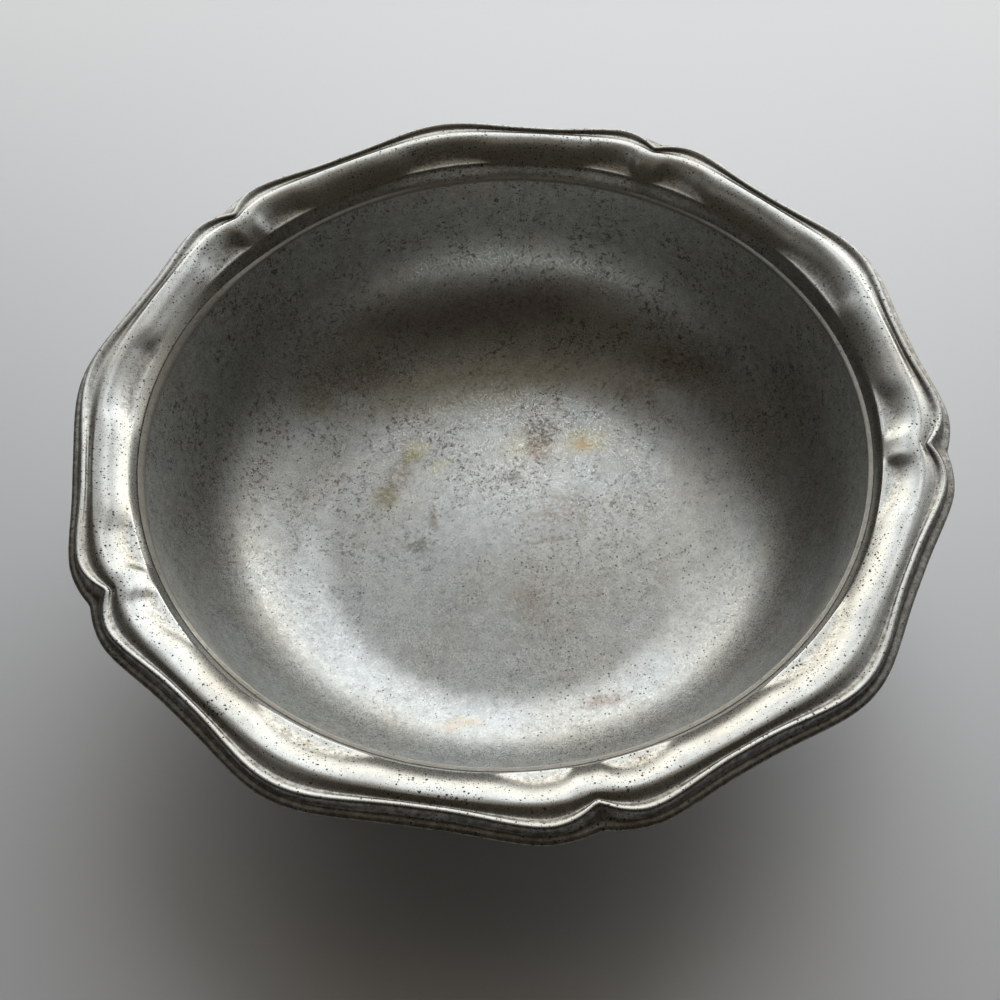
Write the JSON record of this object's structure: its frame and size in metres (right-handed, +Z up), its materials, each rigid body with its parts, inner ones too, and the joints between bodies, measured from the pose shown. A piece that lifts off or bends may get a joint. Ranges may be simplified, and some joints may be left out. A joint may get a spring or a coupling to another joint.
{
  "type": "bowl",
  "caption": "Round pewter bowl on a low foot ring, with steep sides, a flat floor and a scalloped, moulded border that holds fruit or serves food.",
  "frame": {"origin": "on the bowl's axis, in the plane of the foot ring's lower face, where the bowl stands", "axes": "+Z up along the bowl's axis; -Y towards one of the border's five notches, which makes X = 0 a mirror plane; +X to the right of someone who faces that notch"},
  "size_m": [0.2358, 0.2407, 0.0703],
  "materials": {
    "pewter_well": "turned and brushed old pewter, grey, with fine pits, dark specks and a few brown and yellow stains",
    "pewter_border": "cast and worn old pewter, semi-bright on the crests, with pits and brown tarnish in the hollows",
    "pewter_foot": "dull turned pewter, worn where it stands"
  },
  "bodies": {
    "root": {"bowl_well": "pewter_well", "scalloped_border": "pewter_border", "foot_ring": "pewter_foot"}
  },
  "joints": []
}
